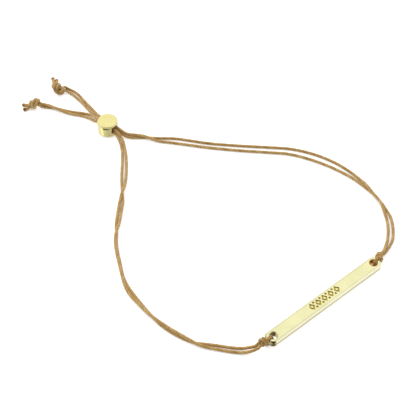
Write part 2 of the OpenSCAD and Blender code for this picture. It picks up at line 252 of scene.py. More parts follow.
def bridge(p, q, pull=0.5):
    """A smooth link from the end of line p to the start of line q."""
    a, b = p[-1], q[0]
    ta, tb = p[-1] - p[-4], q[3] - q[0]
    size = np.linalg.norm(b - a) * pull * 2
    ta, tb = ta / np.linalg.norm(ta) * size, tb / np.linalg.norm(tb) * size
    t = np.linspace(0, 1, 14)[1:-1, None]
    return ((2 * t ** 3 - 3 * t ** 2 + 1) * a + (t ** 3 - 2 * t ** 2 + t) * ta
            + (3 * t ** 2 - 2 * t ** 3) * b + (t ** 3 - t ** 2) * tb)


def away(p, centre, r):
    """The stretch of line p that is at least r from a knot's middle at its start."""
    far = np.nonzero(np.linalg.norm(p - np.array(centre), axis=1) > r)[0]
    return p[far[0]:]


class Line:
    """One doubled cord's whole line, tip to tip, with the pieces that it is cut into."""

    def __init__(self, c, route, bend_rows):
        kb, kt = KNOTS[c + "_bar_knot"], KNOTS[c + "_tail_knot"]
        s1, s2 = strand(route, 1), strand(route, -1)
        s = []
        for p in (s1, s2):
            p = away(p, kb["at"], 2.1 * kb["size"])
            s.append(away(p[::-1], kt["at"], 2.1 * kt["size"])[::-1])
        bar, tail = place_knot(kb), place_knot(kt)
        if self.crossed([bar[0][-1], bar[1][-1]], [s[0][0], s[1][0]]):
            bar = bar[::-1]
        if self.crossed([tail[0][0], tail[1][0]], [s[0][-1], s[1][-1]]):
            tail = tail[::-1]
        loop = bend(bend_rows)
        first = 0 if bar[0][0][2] >= bar[1][0][2] else 1     # the knot's upper line takes the upper leg
        if first == 1:
            loop = loop[::-1]
        out = np.array([math.cos(math.radians(kb["turn"])), math.sin(math.radians(kb["turn"])), 0])
        loop = loop[(loop - np.array(kb["at"])) @ out < -1.05 * kb["size"]]
        tips = []
        for n in (1, 2):
            a, b = (np.array(v) for v in ENDS["%s_end_%d" % (c, n)])
            tips.append(a + (b - a) * np.linspace(0.3, 1, 12)[:, None])
        if self.crossed([tail[0][-1], tail[1][-1]], [tips[0][0], tips[1][0]]):
            tips = tips[::-1]
            self.swapped = True
        else:
            self.swapped = False
        e1, e2 = ("_end_2", "_end_1") if self.swapped else ("_end_1", "_end_2")
        order = [
            (c + e1, tips[0][::-1]), (c + "_tail_knot", tail[0][::-1]), (c + "_strand_1", s[0][::-1]),
            (c + "_bar_knot", bar[0][::-1]), (c + "_hole_loop", loop), (c + "_bar_knot", bar[1]),
            (c + "_strand_2", s[1]), (c + "_tail_knot", tail[1]), (c + e2, tips[1]),
        ]
        pts, names = [], []
        for i, (name, p) in enumerate(order):
            if i:
                prev_name, prev = order[i - 1]
                link = bridge(prev, p)
                owner = name if "knot" in name else prev_name
                pts.append(link)
                names += [owner] * len(link)
            pts.append(p)
            names += [name] * len(p)
        raw = np.vstack(pts)
        s_raw = arc(raw)
        cuts = [0] + [i for i in range(1, len(names)) if names[i] != names[i - 1]] + [len(names) - 1]
        self.names = [names[i] for i in cuts[:-1]]
        self.cuts_s = s_raw[cuts]
        n = int(round(s_raw[-1] / STEP))
        u = np.linspace(0, s_raw[-1], n + 1)
        p = np.stack([np.interp(u, s_raw, raw[:, k]) for k in range(3)], 1)
        for _ in range(8):
            p[1:-1] = (p[:-2] + 2 * p[1:-1] + p[2:]) / 4
        self.u = u
        self.p = p

    @staticmethod
    def crossed(from_two, to_two):
        straight = np.linalg.norm(from_two[0] - to_two[0]) + np.linalg.norm(from_two[1] - to_two[1])
        swapped = np.linalg.norm(from_two[0] - to_two[1]) + np.linalg.norm(from_two[1] - to_two[0])
        return swapped < straight

    def stretches(self, name):
        out = []
        for i, n in enumerate(self.names):
            if n == name:
                a = int(round(self.cuts_s[i] / self.u[-1] * (len(self.u) - 1)))
                b = int(round(self.cuts_s[i + 1] / self.u[-1] * (len(self.u) - 1)))
                out.append((a, b))
        return out


LINES = {"a": Line("a", ROUTE_A, BEND_A), "b": Line("b", ROUTE_B, BEND_B)}


# ---------------------------------------------------------------- cord meshes
def frames(p):
    d = np.gradient(p, axis=0)
    d /= np.linalg.norm(d, axis=1)[:, None]
    n = np.zeros_like(d)
    v = np.array([0, 0, 1.0])
    for i in range(len(d)):
        v = v - d[i] * (v @ d[i])
        v /= np.linalg.norm(v)
        n[i] = v
    return d, n, np.cross(d, n)


def radii(line):
    """Radius and how far the plies are melted together, at each ring of a whole line."""
    u, end = line.u, line.u[-1]
    r = np.full(len(u), CORD_D / 2)
    melt = np.zeros(len(u))
    for i, name in enumerate(line.names):
        if "knot" in name:
            a, b = line.cuts_s[i], line.cuts_s[i + 1]
            inside = np.clip(np.minimum(u - a, b - u) / 1.2, 0, 1)
            tight = 1 - KNOTS[name]["size"] * 0.98
            squeeze = 1 - max(0, tight) * inside * inside * (3 - 2 * inside)
            r *= squeeze
    for s in (u, end - u):
        melt = np.maximum(melt, np.clip(1 - s / 1.9, 0, 1))
        r *= 1 + 0.20 * np.exp(-((s - 0.50) / 0.55) ** 2) + 0.14 * np.clip(1 - s / 3.2, 0, 1)
        dome = np.clip(s / 0.32, 0, 1)
        r *= np.sqrt(np.clip(1 - (1 - dome) ** 2, 0.0, 1)) * 0.999 + 0.001
    return r, melt


def tube(name, line, stretches, frame3, r, melt):
    d, n, b = frame3
    verts, faces, co, depth, melted, along = [], [], [], [], [], []
    k = np.arange(SIDES)
    for a, z in stretches:
        base = len(verts) and sum(len(v) for v in verts)
        rings = np.arange(a, z + 1)
        phase = 2 * math.pi * line.u[rings] / LAY
        ang = 2 * math.pi * k[None, :] / SIDES
        ply = np.abs(np.sin(1.5 * ang)) ** 0.8
        groove = (1 - ply) * (1 - melt[rings])[:, None]
        radius = r[rings][:, None] * (1.105 - 0.09 * groove)
        th = ang + phase[:, None]
        v = (line.p[rings][:, None, :] + radius[:, :, None]
             * (np.cos(th)[:, :, None] * n[rings][:, None, :] + np.sin(th)[:, :, None] * b[rings][:, None, :]))
        verts.append(v.reshape(-1, 3))
        m = len(rings)
        i = np.arange(m - 1)[:, None] * SIDES + k[None, :]
        j = np.arange(m - 1)[:, None] * SIDES + (k[None, :] + 1) % SIDES
        faces.append(np.stack([i, j, j + SIDES, i + SIDES], 2).reshape(-1, 4) + base)
        co.append(np.stack([np.repeat(line.u[rings], SIDES),
                            (np.cos(ang) * np.ones((m, 1))).ravel() * CORD_D / 2,
                            (np.sin(ang) * np.ones((m, 1))).ravel() * CORD_D / 2], 1))
        depth.append(groove.ravel())
        melted.append(np.repeat(melt[rings], SIDES))
        # close both mouths with a small fan
        for ring, flip in ((0, True), (m - 1, False)):
            mid = sum(len(v2) for v2 in verts)
            verts.append(line.p[rings[ring]][None, :])
            co.append(np.array([[line.u[rings[ring]], 0, 0]]))
            depth.append(np.zeros(1))
            melted.append(melt[rings[ring]][None])
            c = base + ring * SIDES + k
            e = base + ring * SIDES + (k + 1) % SIDES
            tri = np.stack([np.full(SIDES, mid), e, c] if flip else [np.full(SIDES, mid), c, e], 1)
            faces.append(tri)
    verts = np.vstack(verts) * MM
    mesh = bpy.data.meshes.new(name)
    mesh.from_pydata([tuple(v) for v in verts], [], [tuple(int(q) for q in f) for g in faces for f in g])
    for attr, kind, data in (("cord_co", "FLOAT_VECTOR", np.vstack(co)), ("groove", "FLOAT", np.concatenate(depth)),
                             ("melt", "FLOAT", np.concatenate(melted))):
        layer = mesh.attributes.new(attr, kind, "POINT")
        layer.data.foreach_set("vector" if kind == "FLOAT_VECTOR" else "value", np.ascontiguousarray(data, np.float32).ravel())
    mesh.polygons.foreach_set("use_smooth", [True] * len(mesh.polygons))
    mesh.update()
    obj = bpy.data.objects.new(name, mesh)
    bpy.context.scene.collection.objects.link(obj)
    return obj


CORD_PIECES = {}
for c, line in LINES.items():
    f3 = frames(line.p)
    r, melt = radii(line)
    names = []
    for n in line.names:
        if n not in names:
            names.append(n)
    for n in names:
        o = tube("cord_" + n, line, line.stretches(n), f3, r, melt)
        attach(o, "root")
        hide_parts(n)
        CORD_PIECES[n] = o

for c, line in LINES.items():
    for side in (1, 2):
        n = "%s_strand_%d" % (c, side)
        (a, z), = line.stretches(n)
        path = line.p[a:z + 1:3] * MM
        if side == 1:
            path = path[::-1]


# ---------------------------------------------------------------- materials
def srgb(r, g, b):
    return tuple(((v / 255) / 12.92 if v / 255 <= 0.04045 else ((v / 255 + 0.055) / 1.055) ** 2.4)
                 for v in (r, g, b)) + (1.0,)


def new_material(name):
    m = bpy.data.materials.new(name)
    m.use_nodes = True
    m.node_tree.nodes.clear()
    return m, m.node_tree.nodes, m.node_tree.links


def node(nodes, kind, **values):
    n = nodes.new(kind)
    for k, v in values.items():
        if k in n.inputs:
            n.inputs[k].default_value = v
        else:
            setattr(n, k, v)
    return n


def mix_color(nodes, links, fac, a, b, blend="MIX"):
    m = nodes.new("ShaderNodeMix")
    m.data_type = "RGBA"
    m.blend_type = blend
    for i, v in ((0, fac), (6, a), (7, b)):
        if isinstance(v, (float, int, tuple)):
            m.inputs[i].default_value = v
        else:
            links.new(v, m.inputs[i])
    return m.outputs[2]


def math_node(nodes, links, op, a, b=None, c=None, clamp=False):
    m = nodes.new("ShaderNodeMath")
    m.operation = op
    m.use_clamp = clamp
    for i, v in enumerate((a, b, c)):
        if v is None:
            continue
        if isinstance(v, (float, int)):
            m.inputs[i].default_value = v
        else:
            links.new(v, m.inputs[i])
    return m.outputs[0]


def ramp(nodes, links, fac, stops):
    r = nodes.new("ShaderNodeValToRGB")
    while len(r.color_ramp.elements) < len(stops):
        r.color_ramp.elements.new(0.5)
    for e, (pos, col) in zip(r.color_ramp.elements, stops):
        e.position = pos
        e.color = col
    links.new(fac, r.inputs[0])
    return r.outputs[0]


def cord_material(name, tone=1.0, tip=False, painted_hole_shade=False):
    m, nodes, links = new_material(name)
    out = nodes.new("ShaderNodeOutputMaterial")
    bsdf = nodes.new("ShaderNodeBsdfPrincipled")
    links.new(bsdf.outputs[0], out.inputs[0])
    co = node(nodes, "ShaderNodeAttribute", attribute_name="cord_co").outputs["Vector"]
    groove = node(nodes, "ShaderNodeAttribute", attribute_name="groove").outputs["Fac"]
    melt = node(nodes, "ShaderNodeAttribute", attribute_name="melt").outputs["Fac"]
    # fibres: fine streaks that run with each ply
    fibre_map = node(nodes, "ShaderNodeMapping")
    fibre_map.inputs["Scale"].default_value = (0.9, 9.0, 9.0)
    links.new(co, fibre_map.inputs["Vector"])
    fibre = node(nodes, "ShaderNodeTexNoise", Scale=1.6, Detail=3.0, Roughness=0.6)
    links.new(fibre_map.outputs[0], fibre.inputs["Vector"])
    # wax: slow changes of tone along the cord
    wax_map = node(nodes, "ShaderNodeMapping")
    wax_map.inputs["Scale"].default_value = (0.42, 0.9, 0.9)
    links.new(co, wax_map.inputs["Vector"])
    wax = node(nodes, "ShaderNodeTexNoise", Scale=1.0, Detail=4.0, Roughness=0.55)
    links.new(wax_map.outputs[0], wax.inputs["Vector"])

    def toned(r, g, b):
        return tuple(v * tone for v in srgb(r, g, b)[:3]) + (1.0,)
    base = ramp(nodes, links, wax.outputs["Fac"], [
        (0.30, toned(172, 132, 66)), (0.46, toned(194, 156, 90)), (0.58, toned(203, 168, 104)), (0.72, toned(213, 182, 124))])
    streak = ramp(nodes, links, fibre.outputs["Fac"], [(0.30, (0.80, 0.77, 0.72, 1)), (0.62, (1.05, 1.04, 1.02, 1))])
    base = mix_color(nodes, links, 0.75, base, streak, "MULTIPLY")
    # painted shade: the grooves between the plies are darkened
    dark = math_node(nodes, links, "POWER", groove, 1.6)
    base = mix_color(nodes, links, math_node(nodes, links, "MULTIPLY", dark, 0.40), base, toned(128, 86, 38))
    if painted_hole_shade:
        # painted shade: the cord is darkened down in the bar's hole and behind it, and darker still where it runs low
        # under the bar
        height = nodes.new("ShaderNodeSeparateXYZ")
        links.new(nodes.new("ShaderNodeNewGeometry").outputs["Position"], height.inputs[0])
        low = nodes.new("ShaderNodeMapRange")
        links.new(height.outputs["Z"], low.inputs[0])
        for i, v in ((1, 0.0032), (2, 0.0024), (3, 0.0), (4, 0.55)):
            low.inputs[i].default_value = v
        base = mix_color(nodes, links, low.outputs[0], base, srgb(172, 112, 8))
        under = nodes.new("ShaderNodeMapRange")
        links.new(height.outputs["Z"], under.inputs[0])
        for i, v in ((1, 0.0016), (2, 0.0009), (3, 0.0), (4, 0.85)):
            under.inputs[i].default_value = v
        base = mix_color(nodes, links, under.outputs[0], base, srgb(48, 20, 2))
    if tip:
        burnt = ramp(nodes, links, melt, [(0.30, srgb(174, 124, 54)), (0.52, srgb(176, 108, 26)), (0.68, srgb(142, 96, 26)),
                                          (1.0, srgb(122, 92, 34))])
        scorch = nodes.new("ShaderNodeMapRange")
        links.new(melt, scorch.inputs[0])
        for i, v in ((1, 0.36), (2, 0.56), (3, 0.0), (4, 1.0)):
            scorch.inputs[i].default_value = v
        base = mix_color(nodes, links, scorch.outputs[0], base, burnt)
        rough = math_node(nodes, links, "MULTIPLY_ADD", melt, -0.3, 0.55)
    else:
        rough = math_node(nodes, links, "MULTIPLY_ADD", fibre.outputs["Fac"], 0.3, 0.38)
    links.new(base, bsdf.inputs["Base Color"])
    links.new(rough, bsdf.inputs["Roughness"])
    bsdf.inputs["Specular IOR Level"].default_value = 0.25 if tip else 0.45
    bsdf.inputs["Sheen Weight"].default_value = 0.05 if tip else 0.25
    bsdf.inputs["Sheen Roughness"].default_value = 0.5
    bsdf.inputs["Sheen Tint"].default_value = (1.0, 0.93, 0.82, 1)
    bump = node(nodes, "ShaderNodeBump", Strength=0.45, Distance=0.00004)
    links.new(fibre.outputs["Fac"], bump.inputs["Height"])
    links.new(bump.outputs[0], bsdf.inputs["Normal"])
    return m


def gold_material(name, base_rgb, engraved=False, turned=False):
    m, nodes, links = new_material(name)
    out = nodes.new("ShaderNodeOutputMaterial")
    bsdf = nodes.new("ShaderNodeBsdfPrincipled")
    links.new(bsdf.outputs[0], out.inputs[0])
    geo = nodes.new("ShaderNodeNewGeometry")
    pos = geo.outputs["Position"]
    # plating: very slight cloudiness, and hairlines from handling
    cloud = node(nodes, "ShaderNodeTexNoise", Scale=260.0, Detail=3.0, Roughness=0.5)
    links.new(pos, cloud.inputs["Vector"])
    hair_map = node(nodes, "ShaderNodeMapping")
    hair_map.inputs["Scale"].default_value = (180.0, 5200.0, 5200.0)
    hair_map.inputs["Rotation"].default_value = (0, 0, math.radians(7))
    links.new(pos, hair_map.inputs["Vector"])
    hair = node(nodes, "ShaderNodeTexNoise", Scale=1.0, Detail=2.0, Roughness=0.5)
    links.new(hair_map.outputs[0], hair.inputs["Vector"])
    base = ramp(nodes, links, cloud.outputs["Fac"], [
        (0.35, srgb(*base_rgb)), (0.65, srgb(*[min(255, v + 7) for v in base_rgb]))])
    rough = math_node(nodes, links, "MULTIPLY_ADD", hair.outputs["Fac"], 0.10, 0.10)
    dull = None
    height = math_node(nodes, links, "MULTIPLY", hair.outputs["Fac"], 0.12)
    if engraved:
        split = nodes.new("ShaderNodeSeparateXYZ")
        links.new(pos, split.inputs[0])
        below = math_node(nodes, links, "LESS_THAN", split.outputs["Z"], 0.00289)
        above = math_node(nodes, links, "GREATER_THAN", split.outputs["Z"], 0.00255)
        in_x = math_node(nodes, links, "LESS_THAN", math_node(nodes, links, "ABSOLUTE", split.outputs["X"]), 0.0052)
        y0 = math_node(nodes, links, "ABSOLUTE", math_node(nodes, links, "ADD", split.outputs["Y"], 0.0415))
        in_y = math_node(nodes, links, "LESS_THAN", y0, 0.00122)
        cut = math_node(nodes, links, "MULTIPLY", math_node(nodes, links, "MULTIPLY", below, above),
                        math_node(nodes, links, "MULTIPLY", in_x, in_y))
        grain = node(nodes, "ShaderNodeTexNoise", Scale=5200.0, Detail=2.0, Roughness=0.6)
        links.new(pos, grain.inputs["Vector"])
        floor_col = ramp(nodes, links, grain.outputs["Fac"], [(0.35, srgb(190, 162, 12)), (0.65, srgb(222, 198, 48))])
        base = mix_color(nodes, links, cut, base, floor_col)
        # the walls of the two holes are rougher, and painted shade darkens them
        hx = math_node(nodes, links, "SUBTRACT", math_node(nodes, links, "ABSOLUTE", split.outputs["X"]), 0.017)
        hx_signed = math_node(nodes, links, "MULTIPLY", hx, math_node(nodes, links, "SIGN", split.outputs["X"]))
        hy = math_node(nodes, links, "ADD", split.outputs["Y"], 0.0416)
        away2 = math_node(nodes, links, "ADD", math_node(nodes, links, "MULTIPLY", hx, hx),
                          math_node(nodes, links, "MULTIPLY", hy, hy))
        near_hole = math_node(nodes, links, "LESS_THAN", away2, 0.00125 ** 2)
        wall = math_node(nodes, links, "MULTIPLY", math_node(nodes, links, "LESS_THAN", away2, 0.00107 ** 2),
                         math_node(nodes, links, "LESS_THAN", split.outputs["Z"], 0.00286))
        # painted shade: away from the light the walls are darkened, olive at one end, and at the other a painted warm
        # light from the cord
        far = math_node(nodes, links, "ADD", math_node(nodes, links, "MULTIPLY", hx_signed, 0.58),
                        math_node(nodes, links, "MULTIPLY", hy, 0.80))
        shade = nodes.new("ShaderNodeMapRange")
        links.new(far, shade.inputs[0])
        for i, v in ((1, 0.0003), (2, 0.0007), (3, 0.0), (4, 1.0)):
            shade.inputs[i].default_value = v
        at_right = math_node(nodes, links, "GREATER_THAN", split.outputs["X"], 0.0)
        shade = math_node(nodes, links, "MAXIMUM", shade.outputs[0], math_node(nodes, links, "MULTIPLY", at_right, 0.85))
        # the side of each hole that faces the light, and the top of the wall, stay pale, with less of the painted shade
        lit = nodes.new("ShaderNodeMapRange")
        links.new(math_node(nodes, links, "ADD", math_node(nodes, links, "MULTIPLY", hx_signed, 0.80),
                            math_node(nodes, links, "MULTIPLY", hy, -0.60)), lit.inputs[0])
        for i, v in ((1, 0.00045), (2, 0.0008), (3, 1.0), (4, 0.0)):
            lit.inputs[i].default_value = v
        lip = nodes.new("ShaderNodeMapRange")
        links.new(split.outputs["Z"], lip.inputs[0])
        for i, v in ((1, 0.0025), (2, 0.00285), (3, 1.0), (4, 0.25)):
            lip.inputs[i].default_value = v
        shade = math_node(nodes, links, "MULTIPLY", math_node(nodes, links, "MULTIPLY", shade, lit.outputs[0]), lip.outputs[0])
        hole_shade_tone = mix_color(nodes, links, at_right, srgb(96, 70, 8), srgb(226, 168, 44))
        base = mix_color(nodes, links, math_node(nodes, links, "MULTIPLY", wall, shade), base, hole_shade_tone)
        in_hole = math_node(nodes, links, "MULTIPLY", wall, math_node(nodes, links, "MULTIPLY_ADD", shade, -0.78, 0.80))
        rough = math_node(nodes, links, "MAXIMUM", rough, math_node(nodes, links, "MULTIPLY", wall, 0.35))
        # painted shade and reflection on the upright sides, toned by which way they face: the end that faces away from
        # the light has its upright corner darker the more it turns away
        face = nodes.new("ShaderNodeSeparateXYZ")
        links.new(geo.outputs["Normal"], face.inputs[0])
        level_n = math_node(nodes, links, "SQRT", math_node(nodes, links, "MAXIMUM", math_node(
            nodes, links, "SUBTRACT", 1.0, math_node(nodes, links, "MULTIPLY", face.outputs["Z"], face.outputs["Z"])), 0.0004))
        across = math_node(nodes, links, "ADD", math_node(nodes, links, "MULTIPLY", face.outputs["X"], 0.772),
                           math_node(nodes, links, "MULTIPLY", face.outputs["Y"], -0.6355))
        across = math_node(nodes, links, "MULTIPLY_ADD", math_node(nodes, links, "DIVIDE", across, level_n), 0.5, 0.5)
        painted_side_reflection = ramp(nodes, links, across, [
            (0.00, (0.80, 0.79, 0.74, 1)), (0.16, (0.62, 0.61, 0.50, 1)), (0.36, (0.34, 0.33, 0.22, 1)),
            (0.50, (0.07, 0.06, 0.02, 1)), (0.62, (0.16, 0.15, 0.08, 1)), (0.74, (0.50, 0.48, 0.38, 1)),
            (0.81, (1.0, 1.0, 1.0, 1)), (0.84, (1.0, 1.0, 1.0, 1)), (1.00, (0.80, 0.79, 0.76, 1))])
        upright = nodes.new("ShaderNodeMapRange")
        links.new(math_node(nodes, links, "ABSOLUTE", math_node(nodes, links, "SUBTRACT", face.outputs["Z"], 0.18)), upright.inputs[0])
        for i, v in ((1, 0.68), (2, 0.48), (3, 0.0), (4, 1.0)):
            upright.inputs[i].default_value = v
        # the sides turned away from the light
        behind = nodes.new("ShaderNodeMapRange")
        links.new(math_node(nodes, links, "ADD", math_node(nodes, links, "MULTIPLY", face.outputs["X"], 0.6355),
                            math_node(nodes, links, "MULTIPLY", face.outputs["Y"], 0.772)), behind.inputs[0])
        for i, v in ((1, 0.05), (2, 0.35), (3, 0.0), (4, 1.0)):
            behind.inputs[i].default_value = v
        outside = math_node(nodes, links, "MULTIPLY", upright.outputs[0], math_node(nodes, links, "SUBTRACT", 1.0, near_hole))
        outside = math_node(nodes, links, "MULTIPLY", outside, math_node(nodes, links, "SUBTRACT", 1.0, behind.outputs[0]))
        base = mix_color(nodes, links, outside, base, mix_color(nodes, links, 1.0, base, painted_side_reflection, "MULTIPLY"))
        # painted reflection down its sides: a darker line round the rim, a painted bright band, and painted shade
        # darker towards the table
        level = nodes.new("ShaderNodeMapRange")
        links.new(split.outputs["Z"], level.inputs[0])
        for i, v in ((1, 0.0008), (2, 0.0029), (3, 0.0), (4, 1.0)):
            level.inputs[i].default_value = v
        band = ramp(nodes, links, level.outputs[0], [
            (0.12, (0.70, 0.70, 0.82, 1)), (0.27, (0.62, 0.62, 0.82, 1)), (0.40, (0.60, 0.58, 0.68, 1)),
            (0.52, (0.65, 0.61, 0.54, 1)), (0.65, (0.76, 0.71, 0.58, 1)), (0.77, (0.92, 0.90, 0.96, 1)),
            (0.86, (1.16, 1.15, 1.56, 1)), (0.915, (1.24, 1.25, 1.78, 1)), (0.955, (1.04, 1.06, 1.36, 1)),
            (0.99, (0.88, 0.83, 0.76, 1))])
        turned_down = nodes.new("ShaderNodeMapRange")
        links.new(face.outputs["Z"], turned_down.inputs[0])
        for i, v in ((1, 0.999), (2, 0.985), (3, 0.0), (4, 1.0)):
            turned_down.inputs[i].default_value = v
        round_rim = math_node(nodes, links, "MULTIPLY", turned_down.outputs[0],
                              math_node(nodes, links, "MULTIPLY", math_node(nodes, links, "SUBTRACT", 1.0, near_hole),
                                        math_node(nodes, links, "SUBTRACT", 1.0, math_node(nodes, links, "MULTIPLY", in_x, in_y))))
        lit_rim = math_node(nodes, links, "MULTIPLY", round_rim, math_node(nodes, links, "SUBTRACT", 1.0, behind.outputs[0]))
        base = mix_color(nodes, links, lit_rim, base, mix_color(nodes, links, 1.0, base, band, "MULTIPLY"))
        # painted shade: the rounded sides turned away from the light are a little darker
        base = mix_color(nodes, links, math_node(nodes, links, "MULTIPLY", round_rim, behind.outputs[0]), base,
                         mix_color(nodes, links, 1.0, base, (0.96, 0.96, 0.95, 1), "MULTIPLY"))
        # painted reflection: steep rounded edges turned away from the light are tinted olive, and those facing furthest
        # left get a dark olive
        leftmost = nodes.new("ShaderNodeMapRange")
        links.new(across, leftmost.inputs[0])
        for i, v in ((1, 0.06), (2, 0.20), (3, 1.0), (4, 0.0)):
            leftmost.inputs[i].default_value = v
        steep = nodes.new("ShaderNodeMapRange")
        links.new(math_node(nodes, links, "ABSOLUTE", math_node(nodes, links, "SUBTRACT", face.outputs["Z"], 0.62)), steep.inputs[0])
        for i, v in ((1, 0.30), (2, 0.16), (3, 0.0), (4, 1.0)):
            steep.inputs[i].default_value = v
        base = mix_color(nodes, links, math_node(nodes, links, "MULTIPLY", steep.outputs[0], behind.outputs[0]), base,
                         mix_color(nodes, links, 1.0, base, (0.82, 0.81, 0.60, 1), "MULTIPLY"))
        base = mix_color(nodes, links, math_node(nodes, links, "MULTIPLY", math_node(nodes, links, "MULTIPLY", round_rim, steep.outputs[0]),
                                                 leftmost.outputs[0]), base,
                         mix_color(nodes, links, 1.0, base, (0.42, 0.37, 0.20, 1), "MULTIPLY"))
        rough = math_node(nodes, links, "MAXIMUM", rough, math_node(nodes, links, "MULTIPLY", cut, 0.5))
        height = math_node(nodes, links, "ADD", height,
                           math_node(nodes, links, "MULTIPLY", grain.outputs["Fac"], cut))
        dull = math_node(nodes, links, "MAXIMUM", in_hole, math_node(nodes, links, "MULTIPLY", cut, 0.85))
    if turned:
        # rings left by turning on the flat top, and a painted reflection round the wall, toned by which way it faces
        split = nodes.new("ShaderNodeSeparateXYZ")
        links.new(pos, split.inputs[0])
        bx = math_node(nodes, links, "ADD", split.outputs["X"], 0.0066)
        by = math_node(nodes, links, "SUBTRACT", split.outputs["Y"], 0.04055)
        r2 = math_node(nodes, links, "ADD", math_node(nodes, links, "MULTIPLY", bx, bx),
                       math_node(nodes, links, "MULTIPLY", by, by))
        out_r = math_node(nodes, links, "SQRT", r2)
        rings = math_node(nodes, links, "SINE", math_node(nodes, links, "MULTIPLY", out_r, 2 * math.pi / 0.00042))
        face = nodes.new("ShaderNodeSeparateXYZ")
        links.new(geo.outputs["Normal"], face.inputs[0])
        flat = math_node(nodes, links, "GREATER_THAN", face.outputs["Z"], 0.98)
        height = math_node(nodes, links, "ADD", height,
                           math_node(nodes, links, "MULTIPLY", math_node(nodes, links, "MULTIPLY", rings, flat), 0.35))
        across = math_node(nodes, links, "ADD", math_node(nodes, links, "MULTIPLY", face.outputs["X"], 0.772),
                           math_node(nodes, links, "MULTIPLY", face.outputs["Y"], -0.6355))
        across = math_node(nodes, links, "MULTIPLY_ADD", across, 0.5, 0.5)
        # painted reflection: bright to the left, darker in the middle, by which way the wall faces
        tone = ramp(nodes, links, across, [
            (0.00, (0.70, 0.69, 0.66, 1)), (0.15, (0.78, 0.77, 0.74, 1)), (0.19, (1, 1, 1, 1)),
            (0.30, (1, 1, 1, 1)), (0.325, (0.66, 0.64, 0.62, 1)), (0.48, (0.58, 0.58, 0.60, 1)),
            (0.56, (0.47, 0.49, 0.52, 1)), (0.66, (0.56, 0.55, 0.55, 1)), (0.80, (0.66, 0.62, 0.58, 1)),
            (1.00, (0.62, 0.60, 0.56, 1))])
        wall = nodes.new("ShaderNodeMapRange")
        links.new(math_node(nodes, links, "ABSOLUTE", face.outputs["Z"]), wall.inputs[0])
        for i, v in ((1, 0.22), (2, 0.06), (3, 0.0), (4, 1.0)):
            wall.inputs[i].default_value = v
        # painted reflection: a thin dark line under the near rim
        turn_in = nodes.new("ShaderNodeMapRange")
        turn_in.interpolation_type = "SMOOTHSTEP"
        links.new(math_node(nodes, links, "ABSOLUTE", math_node(nodes, links, "SUBTRACT", split.outputs["Z"], 0.00334)), turn_in.inputs[0])
        for i, v in ((1, 0.00020), (2, 0.00026), (3, 1.0), (4, 0.0)):
            turn_in.inputs[i].default_value = v
        side_on = ramp(nodes, links, across, [
            (0.275, (0, 0, 0, 1)), (0.305, (1, 1, 1, 1)), (0.52, (1, 1, 1, 1)), (0.57, (0.6, 0.6, 0.6, 1)),
            (0.65, (0.5, 0.5, 0.5, 1)), (0.70, (0, 0, 0, 1))])
        near = math_node(nodes, links, "GREATER_THAN",
                         math_node(nodes, links, "ADD", math_node(nodes, links, "MULTIPLY", face.outputs["X"], -0.6355),
                                   math_node(nodes, links, "MULTIPLY", face.outputs["Y"], -0.772)), 0.0)
        line = math_node(nodes, links, "MULTIPLY", math_node(nodes, links, "MULTIPLY", turn_in.outputs[0], side_on), near)
        base = mix_color(nodes, links, line, base, srgb(46, 34, 12))
        inner = math_node(nodes, links, "LESS_THAN", out_r, 0.00282)
        wall_f = math_node(nodes, links, "MULTIPLY", wall.outputs[0],
                           math_node(nodes, links, "SUBTRACT", 1.0, inner))
        base = mix_color(nodes, links, wall_f, base, mix_color(nodes, links, 1.0, base, tone, "MULTIPLY"))
        # painted shade: inside the bore it is less metallic and a darker brown
        in_bore = math_node(nodes, links, "MULTIPLY", math_node(nodes, links, "LESS_THAN", out_r, 0.00286),
                            math_node(nodes, links, "LESS_THAN", split.outputs["Z"], 0.0035))
        in_bore = math_node(nodes, links, "MULTIPLY", in_bore, math_node(nodes, links, "GREATER_THAN", split.outputs["Z"], 0.0006))
        base = mix_color(nodes, links, math_node(nodes, links, "MULTIPLY", in_bore, 0.95), base, srgb(196, 142, 62))
        # painted highlight: the near rim is made less metallic, so it stays bright
        rim_kept_bright = nodes.new("ShaderNodeMapRange")
        links.new(math_node(nodes, links, "ABSOLUTE", math_node(nodes, links, "SUBTRACT", face.outputs["Z"], 0.50)), rim_kept_bright.inputs[0])
        for i, v in ((1, 0.34), (2, 0.46), (3, 0.8), (4, 0.0)):
            rim_kept_bright.inputs[i].default_value = v
        dull = math_node(nodes, links, "MAXIMUM", in_bore,
                         math_node(nodes, links, "MULTIPLY", rim_kept_bright.outputs[0], near))
    links.new(base, bsdf.inputs["Base Color"])
    links.new(rough, bsdf.inputs["Roughness"])
    if dull is None:
        bsdf.inputs["Metallic"].default_value = 1.0
    else:
        links.new(math_node(nodes, links, "SUBTRACT", 1.0, dull, clamp=True), bsdf.inputs["Metallic"])
    bump = node(nodes, "ShaderNodeBump", Strength=0.25, Distance=0.00002)
    links.new(height, bump.inputs["Height"])
    links.new(bump.outputs[0], bsdf.inputs["Normal"])
    return m


